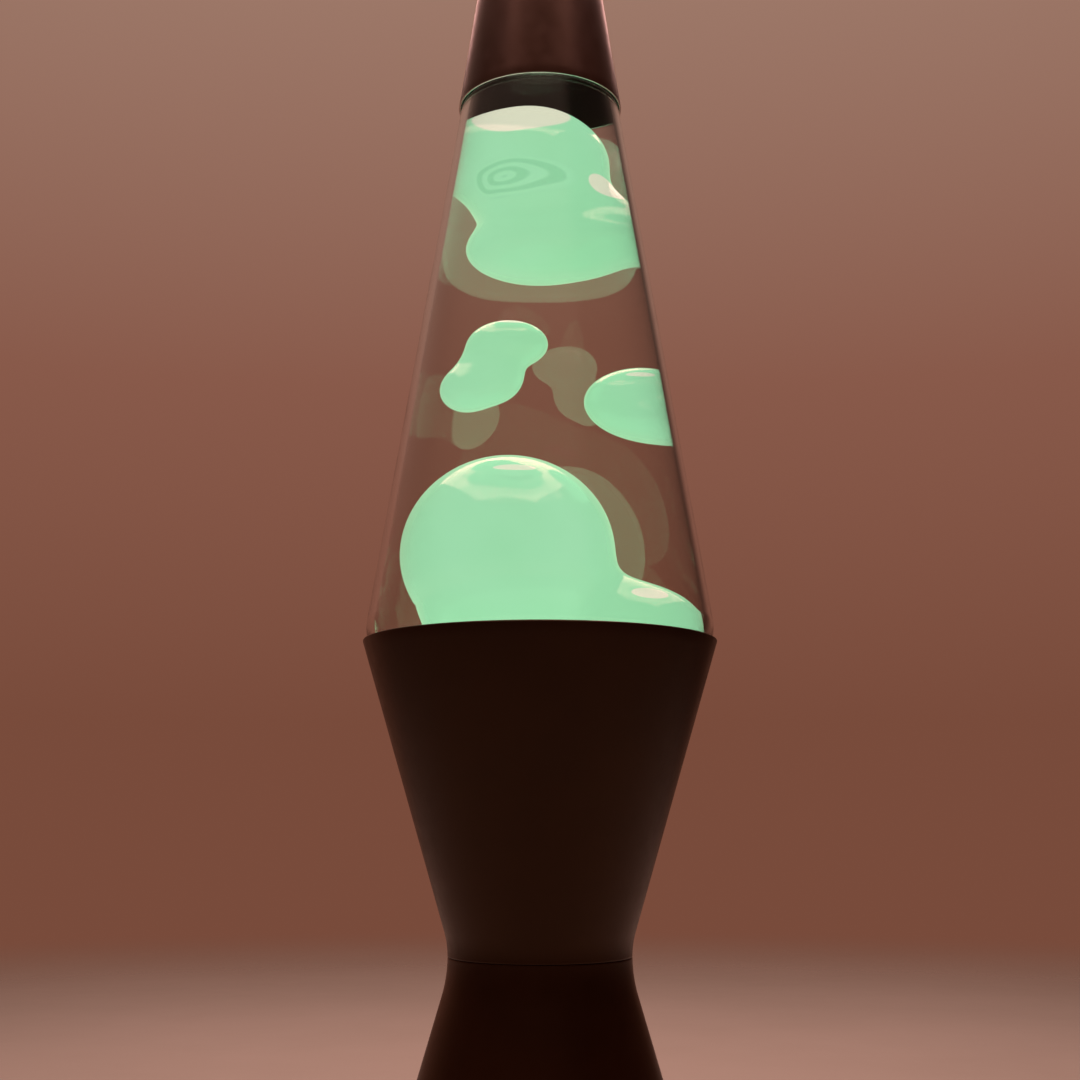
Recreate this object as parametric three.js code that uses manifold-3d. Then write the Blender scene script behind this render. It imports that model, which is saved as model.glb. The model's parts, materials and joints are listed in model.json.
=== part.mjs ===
// A lava lamp: an hourglass metal base with a bulb in it, a tapering bottle of liquid and wax that
// stands in the base, and a metal cap that sits over the neck of the bottle.
// Millimetres. +Z is up, the origin is the middle of the underside, and the cord gland is at +Y.

import * as THREE from 'three';
import { mergeVertices } from 'three/addons/utils/BufferGeometryUtils.js';
import Module from 'manifold-3d';

const wasm = await Module();
wasm.setup();

// ---- Driving dimensions -------------------------------------------------------------------------

const GAP = 0.3; // left between pieces that touch

const FOOT_HEIGHT = 3;
const FOOT_RADIUS = 3.7;
const WAIST_Z = 72.3; // the seam between the two cones
const WAIST_RADIUS = 24;
const RIM_Z = 154; // the top of the base
const RIM_RADIUS = 47.6;
const SHEET = 1.1; // the wall of both cones
const UPPER_SLOPE = 0.3; // radius gained per mm of height
const LOWER_SLOPE = 0.296;
const LOWER_BEND = 35; // the radius of the flare where the lower cone meets the waist
const FLANGE_RADIUS = 15.5; // the opening through the waist

const GLASS = 2.6; // the wall of the bottle
const GLOBE_BOTTOM = 128;
const GLOBE_WIDEST_Z = 157.5;
const GLOBE_RADIUS = 46.7;
const GLOBE_SLOPE = 0.161;
const GLOBE_FLOOR = 132.5;
const SHOULDER_Z = 326; // where the cone of glass turns in to the neck
const NECK_RADIUS = 12.2; // at the groove below the lip
const NECK_Z = 340;
const MOUTH_Z = 347;
const BORE = 8.5;
const FILL_Z = 324; // the level of the liquid

const CAP_Z = 308;
const CAP_RADIUS = 23.4;
const CAP_SLOPE = 0.148;
const CAP_TOP = 367;
const CAP_SHEET = 0.6;

const BULB_BASE_Z = 55.5; // the tip of the bulb's centre contact
const BULB_LENGTH = 58.7;
const BULB_RADIUS = 17.5;
const THREAD_PITCH = 2.8;
const THREAD_DEPTH = 0.4; // above and below the mean radius
const THREAD_RADIUS = 8; // the mean radius of the bulb's thread
const THREAD_PLAY = 0.5; // between the bulb's thread and the socket's

const AROUND = 40; // facets round the large shells
const AROUND_SMALL = 16;
const AROUND_HOLE = 10;

// ---- Geometry helpers ---------------------------------------------------------------------------

const radians = THREE.MathUtils.degToRad;

// One closed skin: shared vertices merged, triangles without area dropped, faces turned outwards.
function closed(geometry) {
  const plain = geometry.clone();
  for (const name of Object.keys(plain.attributes)) {
    if (name !== 'position') plain.deleteAttribute(name);
  }
  const merged = mergeVertices(plain, 1e-4);
  const old = merged.index.array;
  const kept = [];
  for (let i = 0; i < old.length; i += 3) {
    const [a, b, c] = [old[i], old[i + 1], old[i + 2]];
    if (a !== b && b !== c && c !== a) kept.push(a, b, c);
  }
  merged.setIndex(volumeOf(merged, kept) < 0 ? kept.toReversed() : kept);
  merged.computeVertexNormals();
  return merged;
}

function volumeOf(geometry, index) {
  const p = geometry.attributes.position;
  const [a, b, c] = [new THREE.Vector3(), new THREE.Vector3(), new THREE.Vector3()];
  let six = 0;
  for (let i = 0; i < index.length; i += 3) {
    a.fromBufferAttribute(p, index[i]);
    b.fromBufferAttribute(p, index[i + 1]);
    c.fromBufferAttribute(p, index[i + 2]);
    six += a.dot(b.cross(c));
  }
  return six / 6;
}

function toManifold(geometry) {
  const mesh = closed(geometry);
  return new wasm.Manifold(new wasm.Mesh({
    numProp: 3,
    vertProperties: new Float32Array(mesh.attributes.position.array),
    triVerts: new Uint32Array(mesh.index.array),
  }));
}

function fromManifold(manifold) {
  const mesh = manifold.getMesh();
  const geometry = new THREE.BufferGeometry();
  geometry.setAttribute('position', new THREE.BufferAttribute(mesh.vertProperties, 3));
  geometry.setIndex(new THREE.BufferAttribute(mesh.triVerts, 1));
  return closed(geometry);
}

function cut(geometry, ...tools) {
  let left = toManifold(geometry);
  for (const tool of tools) left = left.subtract(toManifold(tool));
  return fromManifold(left);
}

// A solid of revolution about Z from [radius, z] points; it closes on the axis or on itself.
function spin(points, around = AROUND) {
  const profile = points.map(([radius, z]) => new THREE.Vector2(radius, z));
  const onAxis = points[0][0] === 0 && points.at(-1)[0] === 0;
  if (!onAxis) profile.push(profile[0].clone());
  return closed(new THREE.LatheGeometry(profile, around).rotateX(Math.PI / 2));
}

function disc(radius, low, high, around = AROUND_SMALL) {
  return spin([[0, low], [radius, low], [radius, high], [0, high]], around);
}

function ring(inner, outer, low, high, around = AROUND_SMALL) {
  return spin([[inner, low], [outer, low], [outer, high], [inner, high]], around);
}

function hexRing(inner, acrossFlats, low, high) {
  const corner = acrossFlats / 2 / Math.cos(radians(30));
  return cut(disc(corner, low, high, 6), disc(inner, low - 1, high + 1, AROUND_HOLE));
}

// Points [radius, z] on a circle about (centre radius, centre z), from one angle to another in degrees.
function arc(centreRadius, centreZ, radius, from, to, steps) {
  return Array.from({ length: steps + 1 }, (_, i) => {
    const angle = radians(from + ((to - from) * i) / steps);
    return [centreRadius + radius * Math.cos(angle), centreZ + radius * Math.sin(angle)];
  });
}

// The loop round a wall of even thickness: the outline, then the same outline moved to its left side.
function wall(outline, thickness) {
  const normals = outline.slice(1).map((point, i) => leftOf(outline[i], point));
  const inner = outline.map(([radius, z], i) => {
    const before = normals[Math.max(i - 1, 0)];
    const after = normals[Math.min(i, normals.length - 1)];
    const share = thickness / (1 + before[0] * after[0] + before[1] * after[1]);
    return [radius + (before[0] + after[0]) * share, z + (before[1] + after[1]) * share];
  });
  return [...outline, ...inner.toReversed()];
}

function leftOf([r0, z0], [r1, z1]) {
  const length = Math.hypot(r1 - r0, z1 - z0);
  return [(z0 - z1) / length, (r1 - r0) / length];
}

// A straight-line reading of an outline's radius at a height.
function radiusAt(outline, z) {
  for (let i = 1; i < outline.length; i += 1) {
    const [[r0, z0], [r1, z1]] = [outline[i - 1], outline[i]];
    if (z >= Math.min(z0, z1) && z <= Math.max(z0, z1) && z0 !== z1) {
      return r0 + ((r1 - r0) * (z - z0)) / (z1 - z0);
    }
  }
  return 0;
}

function polar(radius, degrees, z = 0) {
  return new THREE.Vector3(
    radius * Math.cos(radians(degrees)),
    radius * Math.sin(radians(degrees)),
    z,
  );
}

const group = new THREE.Group();
group.name = 'lava_lamp';

function add(name, geometry, [colour, roughness, metalness], at = new THREE.Vector3(), parent = group) {
  const material = new THREE.MeshStandardMaterial({ color: colour, roughness, metalness });
  const mesh = new THREE.Mesh(geometry, material);
  mesh.name = name;
  mesh.position.copy(at);
  parent.add(mesh);
  return mesh;
}

const PAINT = [0x2a170d, 0.45, 0.6];
const WAX = [0x9fe3b4, 0.35, 0];
const CLEAR = [0xf2f5f2, 0.05, 0];
const WATER = [0xe8f4ee, 0.02, 0];
const STEEL = [0xb9bcc0, 0.35, 1];
const BRASS = [0xc9a15a, 0.3, 1];
const RUBBER = [0x1a1a1a, 0.85, 0];
const PHENOLIC = [0x23201e, 0.5, 0];
const TUNGSTEN = [0x5a5a5c, 0.4, 1];

// ---- The two cones of the base ------------------------------------------------------------------

const flangeHole = 1.6;
const waistScrews = [90, 210, 330];
const waistScrewRadius = 19.2;

function upperOutline() {
  const tilt = Math.atan(UPPER_SLOPE);
  const seam = WAIST_Z + GAP / 2;
  const straight = RIM_RADIUS - UPPER_SLOPE * (RIM_Z - seam);
  const bend = (WAIST_RADIUS - straight) / (Math.sin(tilt) * UPPER_SLOPE - 1 + Math.cos(tilt));
  const degrees = THREE.MathUtils.radToDeg(tilt);
  const flare = arc(WAIST_RADIUS + bend, seam, bend, 180, 180 - degrees, 4);
  return [[FLANGE_RADIUS, seam], ...flare, [RIM_RADIUS, RIM_Z]];
}

function upperCone() {
  const shell = spin(wall(upperOutline(), SHEET));
  return cut(shell, ...waistScrews.map((angle) => hole(flangeHole, WAIST_Z, waistScrewRadius, angle)));
}

function hole(radius, z, distance, angle) {
  return disc(radius, z - 6, z + 6, AROUND_HOLE).translate(...polar(distance, angle));
}

const lowerRim = FOOT_HEIGHT + GAP;
const rimFlangeRadius = 34;
const bottomScrews = [0, 120, 240];
const bottomScrewRadius = 37.2;
const footDistance = 38.2;
const glandHeight = 15;
const glandHole = 3.7;

function lowerOutline() {
  const tilt = Math.atan(LOWER_SLOPE);
  const seam = WAIST_Z - GAP / 2;
  const degrees = THREE.MathUtils.radToDeg(tilt);
  const flare = arc(WAIST_RADIUS + LOWER_BEND, seam, LOWER_BEND, 180 + degrees, 180, 5);
  const [flareRadius, flareZ] = flare[0];
  const rimRadius = flareRadius + LOWER_SLOPE * (flareZ - lowerRim);
  return [[rimFlangeRadius, lowerRim], [rimRadius, lowerRim], ...flare, [FLANGE_RADIUS, seam]];
}

function lowerCone() {
  const shell = spin(wall(lowerOutline(), SHEET));
  const holes = waistScrews.map((angle) => hole(flangeHole, WAIST_Z, waistScrewRadius, angle));
  const rimHoles = bottomScrews.map((angle) => hole(flangeHole, lowerRim, bottomScrewRadius, angle));
  return cut(shell, ...holes, ...rimHoles, tiltedToWall(disc(glandHole, -8, 8, 16)));
}

// Lays a piece made about Z square to the slanted back wall of the lower cone, at the gland.
function tiltedToWall(geometry) {
  const middle = radiusAt(lowerOutline().slice(1), glandHeight) - SHEET / 2;
  const slant = Math.PI / 2 - Math.atan(LOWER_SLOPE);
  return geometry.rotateX(-slant).translate(0, middle, glandHeight);
}

function cordGland() {
  const outside = 4.4;
  const inside = -3.4;
  const flange = 1.35; // from the middle of the wall to the flanges, past the wall's own curve
  const groove = glandHole - 0.4;
  const bore = 2;
  return tiltedToWall(spin([
    [bore, inside], [4.6, inside], [5.2, -flange], [groove, -flange],
    [groove, flange], [5.2, flange], [4.6, outside - 1], [3.6, outside], [bore, outside],
  ], 16));
}

function slottedScrew(headRadius, headHeight, shankRadius, length) {
  const body = spin([
    [0, -length], [shankRadius, -length], [shankRadius, 0],
    [headRadius, 0], [headRadius, headHeight * 0.6], [headRadius * 0.7, headHeight], [0, headHeight],
  ], AROUND_HOLE);
  const slot = new THREE.BoxGeometry(headRadius * 2.2, 0.7, 1.2).translate(0, 0, headHeight);
  return cut(body, slot);
}

function base() {
  add('upper_cone', upperCone(), PAINT);
  add('lower_cone', lowerCone(), PAINT);
  add('cord_gland', cordGland(), RUBBER);
  const headSeat = WAIST_Z + GAP / 2 + SHEET + GAP;
  const nutTop = WAIST_Z - GAP / 2 - SHEET - GAP;
  waistScrews.forEach((angle, i) => {
    const at = polar(waistScrewRadius, angle, headSeat);
    add(`waist_screw_${i + 1}`, slottedScrew(2.4, 1.6, 1.25, 7), STEEL, at);
    const under = polar(waistScrewRadius, angle, nutTop - 2.2);
    add(`waist_nut_${i + 1}`, hexRing(1.25 + GAP, 5, 0, 2.2), STEEL, under);
  });
}

// ---- The bottom plate, its screws and the feet --------------------------------------------------

const plateZ = lowerRim + SHEET + GAP;
const plate = 1.5;
const plateRadius = 39.4;
const ventRadius = 3.5;
const ventDistance = 23;
const ventCount = 6;
const nippleRadius = 4.8;
const nippleBore = 3.5;
const nippleLow = 1.4;

function bottomPlate() {
  const centre = disc(nippleRadius + GAP, plateZ - 1, plateZ + plate + 1);
  const screwHoles = bottomScrews.map((angle) => hole(flangeHole, plateZ, bottomScrewRadius, angle));
  const vents = Array.from({ length: ventCount }, (_, i) =>
    hole(ventRadius, plateZ, ventDistance, (360 * (i + 0.5)) / ventCount));
  return cut(disc(plateRadius, plateZ, plateZ + plate, 32), centre, ...screwHoles, ...vents);
}

function foot() {
  return spin([
    [0, 0], [FOOT_RADIUS - 0.6, 0], [FOOT_RADIUS, 0.6], [FOOT_RADIUS, FOOT_HEIGHT], [0, FOOT_HEIGHT],
  ], 16);
}

function underside() {
  add('bottom_plate', bottomPlate(), STEEL);
  bottomScrews.forEach((angle, i) => {
    const upsideDown = slottedScrew(2.5, 1.5, 1.25, 5).rotateX(Math.PI);
    const at = polar(bottomScrewRadius, angle, lowerRim - GAP);
    add(`bottom_screw_${i + 1}`, upsideDown, STEEL, at);
  });
  for (let i = 0; i < 4; i += 1) {
    add(`foot_${i + 1}`, foot(), RUBBER, polar(footDistance, 45 + 90 * i));
  }
}

// ---- The threaded tube that carries the socket --------------------------------------------------

const nutHeight = 3;
const nutFlats = 15;
const cupFloor = 44;
const cupSheet = 1.2;

function stand() {
  add('nipple', ring(nippleBore, nippleRadius, nippleLow, cupFloor + 5.2), STEEL);
  const plateTop = plateZ + plate + GAP;
  const washer = 1;
  const seats = [
    plateZ - GAP - nutHeight + 0.2,
    plateTop + washer + GAP,
    cupFloor - GAP - nutHeight,
    cupFloor + cupSheet + GAP,
  ];
  seats.forEach((z, i) => {
    const height = i === 0 ? nutHeight - 0.2 : nutHeight;
    add(`nipple_nut_${i + 1}`, hexRing(nippleRadius + GAP, nutFlats, z, z + height), STEEL);
  });
  add('lock_washer', ring(nippleRadius + GAP, 7.6, plateTop, plateTop + washer), STEEL);
}

// ---- The socket ---------------------------------------------------------------------------------

const socketRadius = 12.4;
const socketBore = 10.1;
const socketFloor = 53.2;
const socketTop = 71;
const terminalZ = 60;
const rivetRadius = 1.1;
const rivetHead = 2.2; // the radius of the head under the socket
const rivetLow = 49;
const cupRadius = 14.2;
const cupTop = 55;

// A tube with a thread on one side, which fades out at both ends away from the mating thread.
function threadedTube(profile, threadedSide, mean, low, high, awayFromMate) {
  const steps = Math.ceil((high - low) / (THREAD_PITCH / 4));
  const side = Array.from({ length: steps + 1 }, (_, i) => [mean, low + ((high - low) * i) / steps]);
  const loop = threadedSide === 'outside' ? [...side, ...profile] : [...side.toReversed(), ...profile];
  const tube = spin(loop, 18);
  const p = tube.attributes.position;
  for (let i = 0; i < p.count; i += 1) {
    const [x, y, z] = [p.getX(i), p.getY(i), p.getZ(i)];
    const radius = Math.hypot(x, y);
    if (Math.abs(radius - mean) > 1e-3 || z < low - 1e-3 || z > high + 1e-3) continue;
    const fade = Math.min(1, (z - low) / THREAD_PITCH, (high - z) / THREAD_PITCH);
    const wave = Math.cos(2 * Math.PI * (z / THREAD_PITCH) - Math.atan2(y, x));
    const moved = radius + THREAD_DEPTH * (fade * wave + (1 - fade) * awayFromMate);
    p.setXY(i, (x * moved) / radius, (y * moved) / radius);
  }
  tube.computeVertexNormals();
  return tube;
}

function socketShell() {
  const inside = THREAD_RADIUS + THREAD_PLAY;
  const low = socketFloor + GAP;
  const high = socketTop - 1;
  return threadedTube([[socketBore - GAP, low], [socketBore - GAP, high]], 'inside', inside, low, high, 1);
}

function socketBody() {
  const bottom = cupFloor + cupSheet + 2 * GAP + nutHeight + 1.5;
  const body = spin([
    [0, bottom], [socketRadius - 1, bottom], [socketRadius, bottom + 1], [socketRadius, socketTop - 0.8],
    [socketRadius - 0.8, socketTop], [socketBore, socketTop], [socketBore, socketFloor], [0, socketFloor],
  ], 24);
  const rivetHole = disc(rivetRadius + GAP, bottom - 1, socketFloor + 1, 12);
  const screwHoles = [0, 180].map((angle) => disc(1.2 + GAP, 1, 4, 12)
    .rotateY(Math.PI / 2)
    .translate(socketBore - 1.5, 0, terminalZ)
    .rotateZ(radians(angle)));
  return cut(body, rivetHole, ...screwHoles);
}

// A brass strip across the socket's floor with its middle bowed up towards the bulb.
function socketContact() {
  const low = socketFloor + GAP;
  const strip = new THREE.Shape();
  strip.moveTo(-6, low);
  strip.lineTo(6, low);
  strip.lineTo(6, low + 0.5);
  strip.lineTo(3.2, low + 0.5);
  strip.lineTo(1.4, low + 1.2);
  strip.lineTo(-1.4, low + 1.2);
  strip.lineTo(-3.2, low + 0.5);
  strip.lineTo(-6, low + 0.5);
  strip.closePath();
  const width = 4;
  const flat = new THREE.ExtrudeGeometry(strip, { depth: width, bevelEnabled: false });
  const upright = flat.rotateX(Math.PI / 2).translate(0, width / 2, 0);
  return cut(upright, disc(rivetRadius + GAP, low - 1, low + 3, 12));
}

function socket() {
  add('socket_body', socketBody(), PHENOLIC);
  add('socket_shell', socketShell(), BRASS);
  add('socket_contact', socketContact(), BRASS);
  const rivetTop = socketFloor + GAP + 1;
  add('socket_rivet', spin([
    [0, rivetLow], [rivetHead, rivetLow], [rivetHead, rivetLow + 0.8], [rivetRadius, rivetLow + 1.2],
    [rivetRadius, rivetTop], [0, rivetTop],
  ], 12), BRASS);
  const cupInside = cupRadius - cupSheet;
  add('socket_cup', spin([
    [nippleRadius + GAP, cupFloor], [cupRadius, cupFloor], [cupRadius, cupTop], [cupInside, cupTop],
    [cupInside, cupFloor + cupSheet], [nippleRadius + GAP, cupFloor + cupSheet],
  ], 24), STEEL);
  [0, 180].forEach((angle, i) => {
    const screw = slottedScrew(2.6, 1.5, 1.2, 1.6).rotateY(Math.PI / 2);
    screw.translate(socketRadius + GAP, 0, terminalZ).rotateZ(radians(angle));
    add(`terminal_screw_${i + 1}`, screw, BRASS);
  });
}

// ---- The bulb -----------------------------------------------------------------------------------

const bulbTop = BULB_BASE_Z + BULB_LENGTH;
const bulbShellLow = BULB_BASE_Z + 3;
const threadTop = BULB_BASE_Z + 14;
const bulbNeck = 6.4;
const stemHeight = 13;

function bulbOutline() {
  const neckTop = threadTop + 6;
  const widest = bulbTop - BULB_RADIUS;
  const crown = arc(0, widest, BULB_RADIUS, 0, 72, 5);
  return [[bulbNeck, threadTop - 3], [bulbNeck + 0.3, neckTop], [10, neckTop + 6.5], [15.6, widest - 8.5],
    ...crown];
}

function bulbGlass() {
  const outline = bulbOutline();
  const sheet = 0.8;
  const inner = outline.map(([radius, z], i) => {
    const rise = i < 4 ? 0 : Math.sin(Math.atan2(z - (bulbTop - BULB_RADIUS), radius));
    return [radius - sheet * Math.sqrt(1 - rise * rise), z - sheet * rise];
  });
  return spin([[0, bulbTop], ...outline.toReversed(), ...inner, [0, bulbTop - sheet]], 24);
}

function bulbShell() {
  const inner = bulbNeck + GAP;
  return threadedTube([
    [THREAD_RADIUS + 0.5, threadTop + 1.2], [THREAD_RADIUS + 0.5, threadTop + 2.4],
    [inner, threadTop + 2.4], [inner, bulbShellLow + 0.8], [5.4, bulbShellLow + 0.8],
    [5.4, bulbShellLow],
  ], 'outside', THREAD_RADIUS, bulbShellLow, threadTop, -1);
}

// A flared glass foot in the bulb's neck with a pinched top that the filament stands in.
function bulbStem() {
  const foot = threadTop - 2;
  return spin([[0, foot], [4.6, foot], [4.6, foot + 0.8], [2, foot + 5], [1.6, foot + stemHeight],
    [0, foot + stemHeight]], 14);
}

function filament() {
  const low = threadTop - 2 + stemHeight + GAP;
  const high = bulbTop - BULB_RADIUS + 2;
  const spread = 7;
  const turns = 6;
  const zigzag = Array.from({ length: turns * 2 + 1 }, (_, i) => new THREE.Vector3(
    -spread + (2 * spread * i) / (turns * 2),
    (i % 2 ? 0.7 : -0.7),
    high,
  ));
  const path = new THREE.CatmullRomCurve3([
    new THREE.Vector3(-1, 0, low),
    new THREE.Vector3(-2, 0, low + 3),
    new THREE.Vector3(-spread - 0.6, 0, high - 3),
    ...zigzag,
    new THREE.Vector3(spread + 0.6, 0, high - 3),
    new THREE.Vector3(2, 0, low + 3),
    new THREE.Vector3(1, 0, low),
  ], false, 'centripetal');
  const wire = new THREE.Shape().absarc(0, 0, 0.3, 0, 2 * Math.PI);
  return closed(new THREE.ExtrudeGeometry(wire, {
    extrudePath: path,
    steps: 44,
    curveSegments: 2,
    bevelEnabled: false,
  }));
}

function bulb() {
  add('bulb_glass', bulbGlass(), CLEAR);
  add('bulb_shell', bulbShell(), BRASS);
  add('bulb_stem', bulbStem(), CLEAR);
  add('bulb_filament', filament(), TUNGSTEN);
  const insulatorTop = bulbShellLow - GAP;
  add('bulb_insulator', spin([
    [2.6, BULB_BASE_Z + 0.9], [4.4, BULB_BASE_Z + 0.9], [7, insulatorTop], [2.6, insulatorTop],
  ], 16), RUBBER);
  add('bulb_contact', spin([
    [0, BULB_BASE_Z], [1.4, BULB_BASE_Z + 0.2], [2.3, BULB_BASE_Z + 1], [2.3, insulatorTop],
    [0, insulatorTop],
  ], 12), STEEL);
}

// ---- The bottle ---------------------------------------------------------------------------------

// The straight cone of glass meets the round of the widest part, and turns in again below the rim.
function globeOutline() {
  const lowerSlope = 0.36;
  const round = 12;
  const centre = GLOBE_RADIUS - round;
  const up = THREE.MathUtils.radToDeg(Math.atan(GLOBE_SLOPE));
  const down = THREE.MathUtils.radToDeg(Math.atan(lowerSlope));
  const belly = arc(centre, GLOBE_WIDEST_Z, round, -down, up, 4);
  const [bellyRadius, bellyZ] = belly[0];
  const [coneRadius, coneZ] = belly.at(-1);
  const heel = 5;
  const heelZ = GLOBE_BOTTOM + heel;
  const heelRadius = bellyRadius - lowerSlope * (bellyZ - heelZ);
  const heelArc = arc(heelRadius - heel, heelZ, heel, -90, -down, 3);
  const shoulderRadius = coneRadius - GLOBE_SLOPE * (SHOULDER_Z - coneZ);
  const lip = NECK_RADIUS + 1;
  const neck = [[16.6, NECK_Z - 7.5], [lip, NECK_Z - 3.5], [NECK_RADIUS, NECK_Z], [lip, NECK_Z + 2],
    [lip, MOUTH_Z - 0.8], [NECK_RADIUS + 0.2, MOUTH_Z]];
  return [[heelRadius - heel - 4, GLOBE_BOTTOM], ...heelArc, ...belly, [shoulderRadius, SHOULDER_Z], ...neck];
}

// The inside of the bottle, from the middle of its floor to its mouth.
function cavityOutline() {
  const outer = globeOutline();
  const wallTop = SHOULDER_Z - 2;
  const inCorner = 4;
  const levels = [GLOBE_FLOOR + inCorner, GLOBE_WIDEST_Z - 3, GLOBE_WIDEST_Z, GLOBE_WIDEST_Z + 3, wallTop];
  const side = levels.map((z) => [radiusAt(outer.slice(1), z) - GLASS, z]);
  return [[0, GLOBE_FLOOR], [side[0][0] - inCorner, GLOBE_FLOOR], ...side,
    [13, NECK_Z - 8.5], [BORE + 0.6, NECK_Z - 4], [BORE, NECK_Z], [BORE, MOUTH_Z]];
}

function glassGlobe() {
  const pushUp = 3;
  const outer = globeOutline();
  const under = [[0, GLOBE_BOTTOM + pushUp], [outer[0][0] * 0.6, GLOBE_BOTTOM + pushUp * 0.75]];
  return spin([...under, ...outer, ...cavityOutline().toReversed()]);
}

// A steel crown: a disc with a fluted skirt pressed down round the lip of the bottle.
function crownCap() {
  const flutes = 21;
  const top = MOUTH_Z + 1.6;
  const sheet = 0.5;
  const crown = spin([
    [0, top], [12.2, top], [14.4, top - 1], [15.3, top - 6], [14.8, top - 6],
    [13.9, top - 1.4], [12, top - sheet], [0, top - sheet],
  ], flutes * 2);
  const p = crown.attributes.position;
  for (let i = 0; i < p.count; i += 1) {
    const [x, y, z] = [p.getX(i), p.getY(i), p.getZ(i)];
    if (z > top - 5) continue;
    const grow = 1 + 0.025 * (1 + Math.cos(flutes * Math.atan2(y, x)));
    p.setXY(i, x * grow, y * grow);
  }
  crown.computeVertexNormals();
  return crown;
}

// ---- The wax ------------------------------------------------------------------------------------

// Each mass is a few soft balls, {at: [x, y, z], size: [x, y, z]}, that flow into one skin.
const WAX_MASSES = {
  wax_top: {
    heart: [2, 6, 276],
    balls: [
      { at: [0, 8, 286], size: [16.5, 24.5, 20] },
      { at: [-6, 6.5, 292], size: [17, 16, 16] },
      { at: [13, 7, 272], size: [12.5, 11, 12] },
      { at: [-0.5, 7, 265.5], size: [17.5, 15, 9] },
      { at: [19.5, 6, 268.5], size: [25.5, 12, 5.5] },
    ],
    detail: [24, 14],
  },
  wax_left: {
    heart: [-12.5, -2.5, 227],
    balls: [
      { at: [-8, -1, 235.5], size: [10, 9.5, 6.5] },
      { at: [-12.5, -2.5, 226], size: [9, 7, 9] },
      { at: [-20.5, -4, 219.5], size: [4.5, 7, 6.5] },
    ],
    detail: [14, 9],
  },
  wax_right: {
    heart: [27, 3, 218],
    balls: [
      { at: [26.5, 3.5, 220], size: [15.5, 10.5, 10] },
      { at: [33.5, 1, 214], size: [13, 11.5, 5.5] },
    ],
    detail: [14, 9],
  },
  wax_bottom: {
    heart: [-3, -3, 150],
    balls: [
      { at: [-8, -3, 176.5], size: [26.5, 27, 26.5] },
      { at: [21, -2.5, 155.5], size: [20, 12, 13] },
      { at: [23.5, -1.5, 125.5], size: [20.5, 14.5, 16] },
      { at: [0, 0, 138], size: [62, 62, 12] },
    ],
    detail: [26, 15],
  },
};

const FILM = 0.7; // between the wax and the glass
const FLOW = 2.2; // how far the balls of a mass reach into each other; more is less

function isWax(balls, [x, y, z], glass) {
  if (z < GLOBE_FLOOR + FILM || Math.hypot(x, y) > radiusAt(glass, z) - FILM) return false;
  const field = balls.reduce((sum, { at, size }) => {
    const far = ((x - at[0]) / size[0]) ** 2 + ((y - at[1]) / size[1]) ** 2 + ((z - at[2]) / size[2]) ** 2;
    return sum + Math.exp(FLOW * (1 - far));
  }, 0);
  return field >= 1;
}

// The skin of a mass, found by walking outwards from its heart, and moved out by grow.
function waxSkin({ heart, balls, detail }, grow = 0) {
  const glass = cavityOutline().slice(1);
  const skin = new THREE.SphereGeometry(1, ...detail).rotateX(Math.PI / 2);
  const p = skin.attributes.position;
  const step = 1;
  for (let i = 0; i < p.count; i += 1) {
    const way = [p.getX(i), p.getY(i), p.getZ(i)];
    const point = (distance) => heart.map((h, axis) => h + way[axis] * distance);
    let inside = 0;
    while (isWax(balls, point(inside + step), glass)) inside += step;
    let outside = inside + step;
    for (let halving = 0; halving < 12; halving += 1) {
      const middle = (inside + outside) / 2;
      if (isWax(balls, point(middle), glass)) inside = middle;
      else outside = middle;
    }
    p.setXYZ(i, ...point(inside + grow));
  }
  return closed(skin);
}

const coilRing = 27;
const coilRadius = 3.2;
const coilZ = GLOBE_FLOOR + GAP + coilRadius;

function coil(radius, sides) {
  return closed(new THREE.TorusGeometry(coilRing, radius, sides, 24).translate(0, 0, coilZ));
}

function waxBottom() {
  return cut(waxSkin(WAX_MASSES.wax_bottom), coil(coilRadius + 2 * GAP, 8));
}

const poolEdge = 16; // above the floor, where the liquid meets the pool at the glass

// The liquid fills the bottle round the wax, from the edge of the pool to its level. A hair-thin way
// leads up out of it from each mass, so that it has no closed hollow in it.
function liquid() {
  const glass = cavityOutline().slice(1);
  const low = GLOBE_FLOOR + poolEdge;
  const side = glass.filter(([, z]) => z > low && z < FILL_Z).map(([radius, z]) => [radius - GAP, z]);
  const lowRadius = radiusAt(glass, low) - GAP;
  const levelRadius = radiusAt(glass, FILL_Z) - GAP;
  const body = spin([[0, low], [lowRadius, low], ...side, [levelRadius, FILL_Z], [0, FILL_Z]], 32);
  const masses = Object.values(WAX_MASSES);
  const hollows = masses.map((mass) => waxSkin(mass, 2 * GAP));
  const ways = masses.map(({ heart: [x, y, z] }) => disc(0.6, z, FILL_Z + 1, 6).translate(x, y, 0));
  return cut(body, ...hollows, ...ways);
}

function globe() {
  add('glass_globe', glassGlobe(), CLEAR);
  add('crown_cap', crownCap(), STEEL);
  add('crown_liner', disc(NECK_RADIUS - 0.2, MOUTH_Z + GAP, MOUTH_Z + 0.8), RUBBER);
  add('liquid', liquid(), WATER);
  add('heat_coil', coil(coilRadius, 8), STEEL);
  add('wax_bottom', waxBottom(), WAX);
  for (const name of ['wax_top', 'wax_left', 'wax_right']) add(name, waxSkin(WAX_MASSES[name]), WAX);
}

// ---- The cap ------------------------------------------------------------------------------------

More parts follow.
